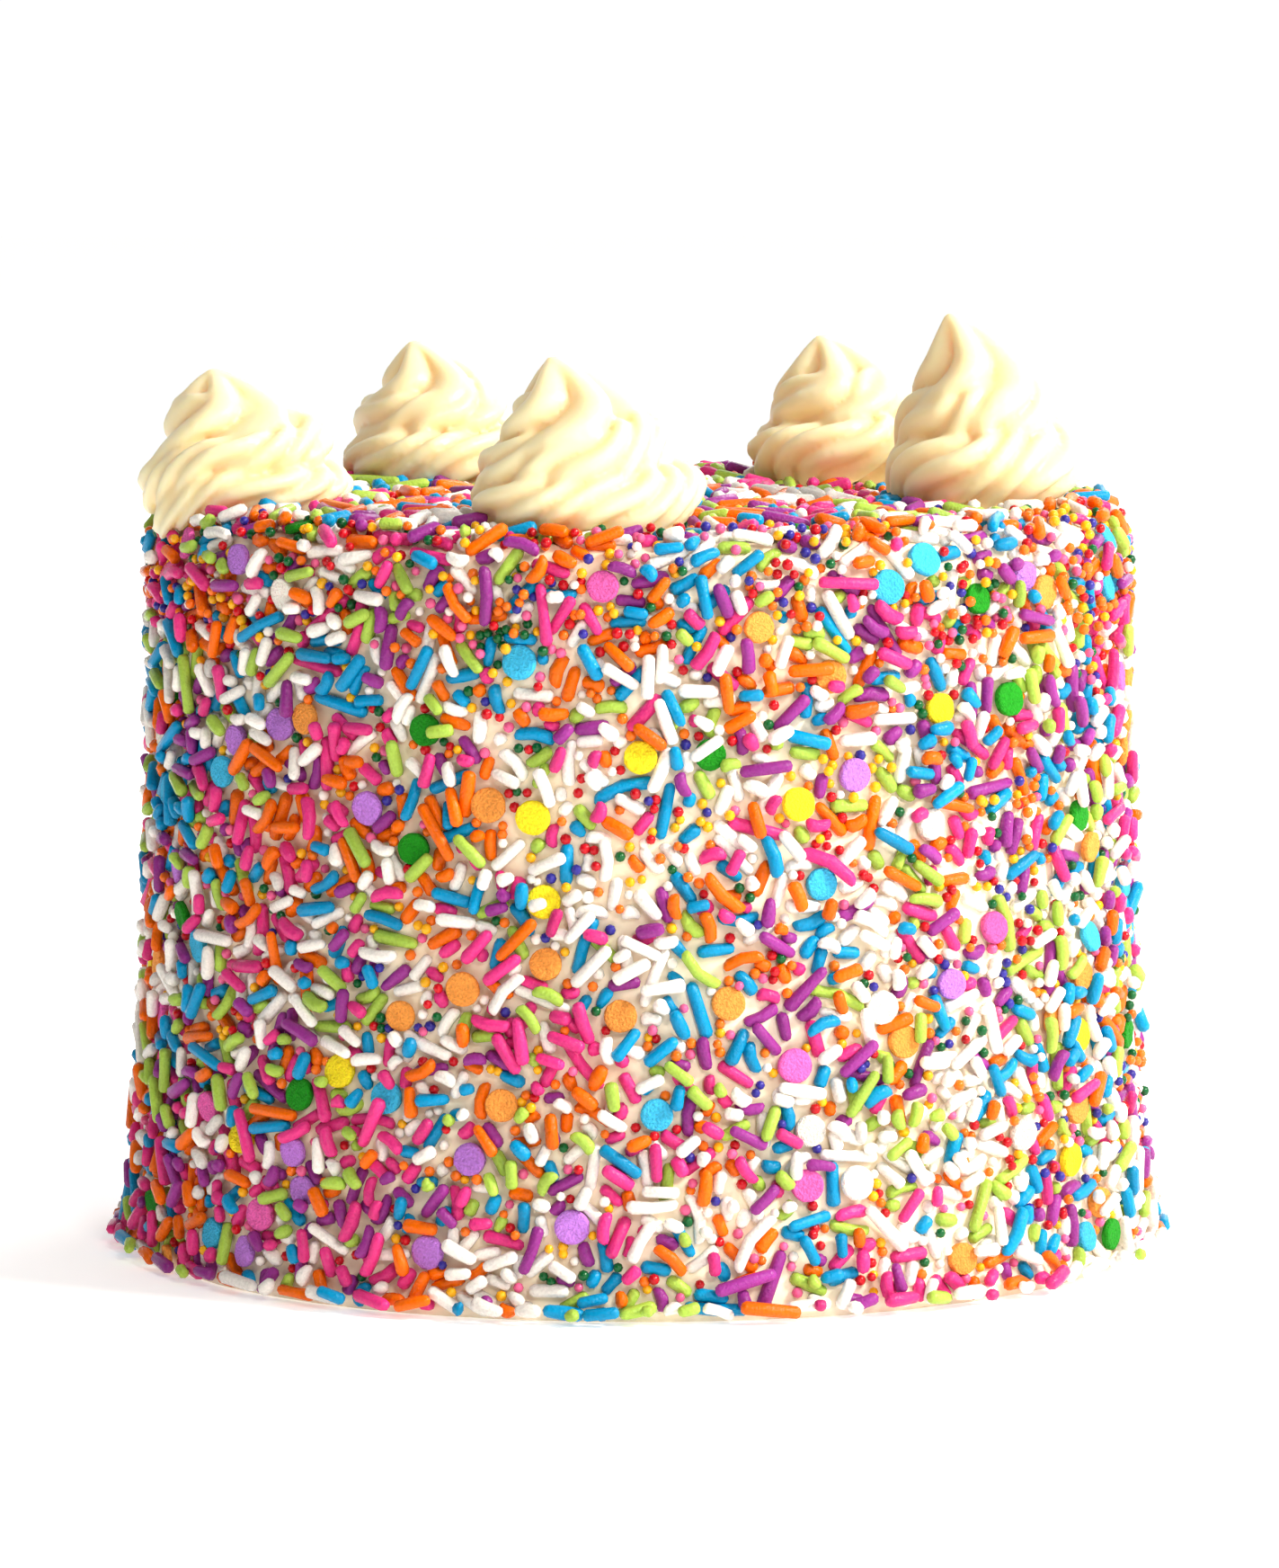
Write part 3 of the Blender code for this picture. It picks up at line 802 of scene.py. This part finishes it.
def along_stations(stations, place):
    """The values at a place between stations, on a smooth curve through all of them."""
    last = len(stations) - 1
    i = max(k for k in range(last) if stations[k][0] <= place)
    before, start = stations[max(i - 1, 0)], stations[i]
    end, after = stations[i + 1], stations[min(i + 2, last)]
    span = end[0] - start[0]
    t = (place - start[0]) / span
    found = []
    for k in range(1, len(start)):
        slope_in = (end[k] - before[k]) / (end[0] - before[0]) * span
        slope_out = (after[k] - start[k]) / (after[0] - start[0]) * span
        found.append(
            (2 * t**3 - 3 * t**2 + 1) * start[k]
            + (t**3 - 2 * t**2 + t) * slope_in
            + (3 * t**2 - 2 * t**3) * end[k]
            + (t**3 - t**2) * slope_out
        )
    return found


def lobed(angle, depth, lobes):
    """A star nozzle's outline: broad rounded lobes with narrow valleys, 1 at the crest."""
    return 1 - depth * (1 - abs(math.sin(lobes * angle / 2)) ** LOBE_CREST)


def skinned(bm, rings):
    """Closes a row of rings into one tube with end caps."""
    for low, high in zip(rings, rings[1:]):
        for k in range(ROPE_SIDES):
            j = (k + 1) % ROPE_SIDES
            bm.faces.new((low[k], low[j], high[j], high[k]))
    bm.faces.new(rings[0])
    bm.faces.new(rings[-1])


def coil(bm, shape, waves):
    """The star-shaped rope laid in a coil. It twists as it goes, and each ridge is dragged into an S."""
    wide = shape["radius"] / NOMINAL_RADIUS
    tall = shape["height"] / NOMINAL_HEIGHT
    first = math.radians(shape["start"])
    whole = COIL[-1][0]
    path = []
    twist = 0
    for i in range(COIL_STEPS + 1):
        turns = whole * i / COIL_STEPS
        out, height, thick, deep = along_stations(COIL, turns)
        twist += (TWISTS[0] + (TWISTS[1] - TWISTS[0]) * i / COIL_STEPS) * whole / COIL_STEPS
        wobble = sum(size * math.sin(rate * 2 * math.pi * turns + phase) for rate, phase, size in waves)
        angle = first + 2 * math.pi * turns
        out *= wide * (1 + UNEVEN * wobble)
        centre = Vector((out * math.cos(angle), out * math.sin(angle), height * tall))
        thick = thick * wide * (1 + UNEVEN / 2 * wobble) - SWELL
        ruffle = RUFFLE * math.sin(2 * math.pi * RUFFLES * turns + waves[2][1])
        path.append((centre, thick, deep * tall - SWELL, twist + UNEVEN * wobble + ruffle))
    rings = []
    side_way = Vector((math.cos(first), math.sin(first), 0))
    for i, (centre, thick, deep, twist) in enumerate(path):
        along = (path[min(i + 1, COIL_STEPS)][0] - path[max(i - 1, 0)][0]).normalized()
        side_way = (side_way - along * side_way.dot(along)).normalized()
        across = along.cross(side_way)
        ring = []
        for k in range(ROPE_SIDES):
            angle = 2 * math.pi * k / ROPE_SIDES
            swell = math.sin(2 * angle + 5 * twist + waves[0][1])
            swell += math.sin(3 * angle - 3 * twist + waves[1][1])
            dragged = angle + HOOK * math.sin(angle) + 2 * math.pi * twist
            reach = lobed(dragged, COIL_DEPTH, LOBES) * (1 + UNEVEN * swell)
            point = centre + reach * (thick * math.cos(angle) * side_way + deep * math.sin(angle) * across)
            ring.append(bm.verts.new((point.x, point.y, max(point.z, -SUNK))))
        rings.append(ring)
    skinned(bm, rings)


def peak(bm, shape, waves, phase):
    """The peak, whose ridges swing round as they rise and meet at the tip."""
    wide = shape["radius"] / NOMINAL_RADIUS
    tall = shape["height"] / NOMINAL_HEIGHT
    low, high = PEAK_SWING_HEIGHTS
    rings = []
    for i in range(PEAK_STEPS + 1):
        up = 1 - (1 - i / PEAK_STEPS) ** PEAK_STEP_POWER
        height = PEAK[0][0] + (PEAK[-1][0] - PEAK[0][0]) * up
        radius = max(along_stations(PEAK, height)[0] - SWELL, 0.1)
        rise = min(max((height - low) / (high - low), 0), 1)
        swing = PEAK_SWING * rise**2 * (3 - 2 * rise)
        depth = PEAK_DEPTH * min(radius / 3, 1)
        ring = []
        for k in range(ROPE_SIDES):
            angle = 2 * math.pi * k / ROPE_SIDES
            reach = radius * wide * lobed(angle - swing + phase, depth, PEAK_LOBES)
            reach *= 1 + PEAK_OVAL * math.sin(2 * angle + waves[0][1])
            x, y = reach * math.cos(angle), reach * math.sin(angle)
            ring.append(bm.verts.new((x, y, height * tall - SWELL)))
        rings.append(ring)
    skinned(bm, rings)


def run_together(bm):
    """The outer skin of everything in bm as one mesh.

    Rope and peak are made a little too thin. The skin swells to its size, which shuts narrow clefts."""
    rough = bpy.data.meshes.new("swirl")
    bm.to_mesh(rough)
    bm.free()
    piece = bpy.data.objects.new("swirl", rough)
    bpy.context.scene.collection.objects.link(piece)
    for swell in (SWELL, 0):
        fused = piece.modifiers.new("Fuse", "REMESH")
        fused.mode = "VOXEL"
        fused.voxel_size = VOXEL
        soft = piece.modifiers.new("Soften", "SMOOTH")
        soft.iterations = SOFTENINGS
        if swell:
            swelled = piece.modifiers.new("Swell", "DISPLACE")
            swelled.strength = swell
            swelled.mid_level = 0
    graph = bpy.context.evaluated_depsgraph_get()
    mesh = bpy.data.meshes.new_from_object(piece.evaluated_get(graph))
    bpy.data.objects.remove(piece)
    return mesh


def outer_shell(mesh):
    """Drops what is closed in inside the swirl, and splits the rest into triangles."""
    bm = bmesh.new()
    bm.from_mesh(mesh)
    left = set(bm.faces)
    shells = []
    while left:
        waiting = [left.pop()]
        shell = list(waiting)
        while waiting:
            for edge in waiting.pop().edges:
                for face in edge.link_faces:
                    if face in left:
                        left.remove(face)
                        shell.append(face)
                        waiting.append(face)
        shells.append(shell)
    shells.sort(key=len)
    for shell in shells[:-1]:
        bmesh.ops.delete(bm, geom=shell, context="FACES")
    bmesh.ops.triangulate(bm, faces=bm.faces)
    bm.to_mesh(mesh)
    bm.free()


def read_values(items, key, width, kind=np.float64):
    """One property of all the items of a mesh as an array with a row for each."""
    values = np.empty(len(items) * width, kind)
    items.foreach_get(key, values)
    return values.reshape(-1, width)


def valleys(mesh):
    """How far each point lies in a valley, 0 to 1, against the same skin with its ridges smoothed away."""
    points = read_values(mesh.vertices, "co", 3)
    ends = read_values(mesh.edges, "vertices", 2, np.int32)
    here = np.concatenate([ends[:, 0], ends[:, 1]])
    there = np.concatenate([ends[:, 1], ends[:, 0]])
    neighbours = np.bincount(here)[:, None]
    smooth = points
    for _ in range(VALLEY_PASSES):
        smooth = np.stack([np.bincount(here, smooth[there, k]) for k in range(3)], 1) / neighbours
    depth = ((smooth - points) * read_values(mesh.vertex_normals, "vector", 3)).sum(1)
    # The valley depth, raised by VALLEY_START, is the share of painted shade that each point gets
    return np.clip(VALLEY_START + depth / VALLEY_DEPTH, 0, 1)


def settle(points, shape):
    """Bends the tip over, stands the swirl in its place, and lets it sag over the cake's edge."""
    up = np.maximum(points[:, 2] / shape["height"], 0)
    x = points[:, 0] + shape["lean"][0] * up**LEAN_POWER + shape["at"][0]
    y = points[:, 1] + shape["lean"][1] * up**LEAN_POWER + shape["at"][1]
    past = np.clip((np.hypot(x, y) - FLAT_RADIUS) / (2 * EDGE_ROUND), 0, 1)
    z = points[:, 2] + CAKE_HEIGHT - shape["hang"] * past**2 * (3 - 2 * past) * np.maximum(1 - up, 0)
    over = np.maximum(np.hypot(x, y) - FLAT_RADIUS, 0)
    room = (EDGE_ROUND + GAP) ** 2 - over**2
    z = np.where(room > 0, np.maximum(z, STRAIGHT + np.sqrt(np.maximum(room, 0))), z)
    return np.stack([x, y, z], 1)


# Piped buttercream: pale cream, smooth and buttery, with painted shade that makes its valleys darker and
# golden
piped_buttercream, tree, shader = new_material(
    "buttercream, piped",
    {
        "Roughness": 0.38,
        "IOR": 1.46,
        "Subsurface Weight": 0.9,
        "Subsurface Radius": (1.0, 0.8, 0.5),
        "Subsurface Scale": 3.6 * MM,
    },
)
# Painted shade: the valley depth darkens the pale cream towards gold in the swirl's valleys
painted_valley_shade = add(tree, "ShaderNodeAttribute", {"attribute_name": "tone_and_painted_shade"})
cream = add(
    tree,
    "ShaderNodeMix",
    {"data_type": "RGBA", 6: linear("#FBE7BC"), 7: linear("#F7DAA2")},
    {"Factor": painted_valley_shade.outputs["Fac"]},
)
where = add(tree, "ShaderNodeTexCoord").outputs["Object"]
grain = add(tree, "ShaderNodeTexNoise", {"Scale": 1 / (0.9 * MM), "Detail": 4}, {"Vector": where})
bump = add(
    tree,
    "ShaderNodeBump",
    {"Strength": 0.25, "Distance": 0.12 * MM},
    {"Height": grain.outputs["Fac"]},
)
tree.links.new(cream.outputs[2], shader.inputs["Base Color"])
tree.links.new(bump.outputs["Normal"], shader.inputs["Normal"])

for node, shape in SWIRLS.items():
    chance = random.Random(shape["start"])
    waves = []
    for _ in range(WAVES):
        rate, phase = chance.uniform(*WAVE_RATES), chance.uniform(0, 6.28)
        waves.append((rate, phase, chance.uniform(*WAVE_SIZES)))
    bm = bmesh.new()
    coil(bm, shape, waves)
    peak(bm, shape, waves, chance.uniform(0, 1))
    bmesh.ops.recalc_face_normals(bm, faces=bm.faces)
    mesh = run_together(bm)
    outer_shell(mesh)
    points = settle(read_values(mesh.vertices, "co", 3), shape)
    triangles = read_values(mesh.polygons, "vertices", 3, np.int32)
    # Each point's valley depth is stored as the painted shade for the cream's colour
    piece = mesh_piece(f"piped_{node}", points, triangles, valleys(mesh))
    piece.data.materials.append(piped_buttercream)
    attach(piece, "root")
    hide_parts(node)

# The studio. A white floor, white surroundings that are brightest behind and on the right, a key light
# from the upper right, a weak front light, a back light, and a camera that looks slightly down on the front.

FLOOR_SIZE = 9000
FLOOR_BELOW = 0.2
floor_corners = np.array([(-1, -1, 0), (1, -1, 0), (1, 1, 0), (-1, 1, 0)])
floor = mesh_piece("floor", floor_corners * FLOOR_SIZE / 2 - (0, 0, FLOOR_BELOW), [(0, 1, 2), (0, 2, 3)])
floor_paint, _, _ = new_material(
    "matt white studio floor, lit from below",
    {
        "Base Color": linear("#F6F5F3"),
        "Roughness": 0.8,
        "Emission Color": linear("#FFFFFF"),
        "Emission Strength": 0.42,
    },
)
floor.data.materials.append(floor_paint)

WORLD_STRENGTH = 0.6
WORLD_GAIN = (0.42, 0.48, 0)
world = bpy.data.worlds.new("studio")
bpy.context.scene.world = world
world.use_nodes = True
tree = world.node_tree
towards = add(tree, "ShaderNodeTexCoord").outputs["Generated"]
gain = add(tree, "ShaderNodeVectorMath", {"operation": "DOT_PRODUCT", 1: WORLD_GAIN}, {0: towards})
strength = add(tree, "ShaderNodeMath", {1: WORLD_STRENGTH}, {0: gain.outputs["Value"]})
background = tree.nodes["Background"]
background.inputs["Color"].default_value = linear("#FFFFFF")
tree.links.new(strength.outputs["Value"], background.inputs["Strength"])


def soft_box(name, place, aim, size, power, code):
    """A round soft light that stands at a place and points at another."""
    lamp = bpy.data.lights.new(name, "AREA")
    lamp.shape = "DISK"
    lamp.size = size * MM
    lamp.energy = power
    lamp.color = linear(code)[:3]
    stand = bpy.data.objects.new(name, lamp)
    stand.location = Vector(place) * MM
    stand.rotation_euler = (Vector(aim) - Vector(place)).to_track_quat("-Z", "Y").to_euler()
    bpy.context.scene.collection.objects.link(stand)


soft_box("key light", (1110, -517, 855), (0, 0, 60), size=320, power=26, code="#FFFAF0")
soft_box("front light", (350, -1350, 750), (0, 0, 60), size=300, power=8, code="#FFFCF6")
soft_box("back light", (500, 900, 800), (0, 0, 90), size=600, power=5, code="#FFFFFF")

CAMERA_PLACE = (0, -1200, 197.8)
CAMERA_AIM = (0, 0, 71)
CAMERA_LENS = 178
camera = bpy.data.cameras.new("camera")
camera.sensor_width = 36
camera.lens = CAMERA_LENS
camera_stand = bpy.data.objects.new("camera", camera)
camera_stand.location = Vector(CAMERA_PLACE) * MM
camera_stand.rotation_euler = (Vector(CAMERA_AIM) - Vector(CAMERA_PLACE)).to_track_quat("-Z", "Y").to_euler()
bpy.context.scene.collection.objects.link(camera_stand)
bpy.context.scene.camera = camera_stand
bpy.context.scene.view_settings.view_transform = "Standard"
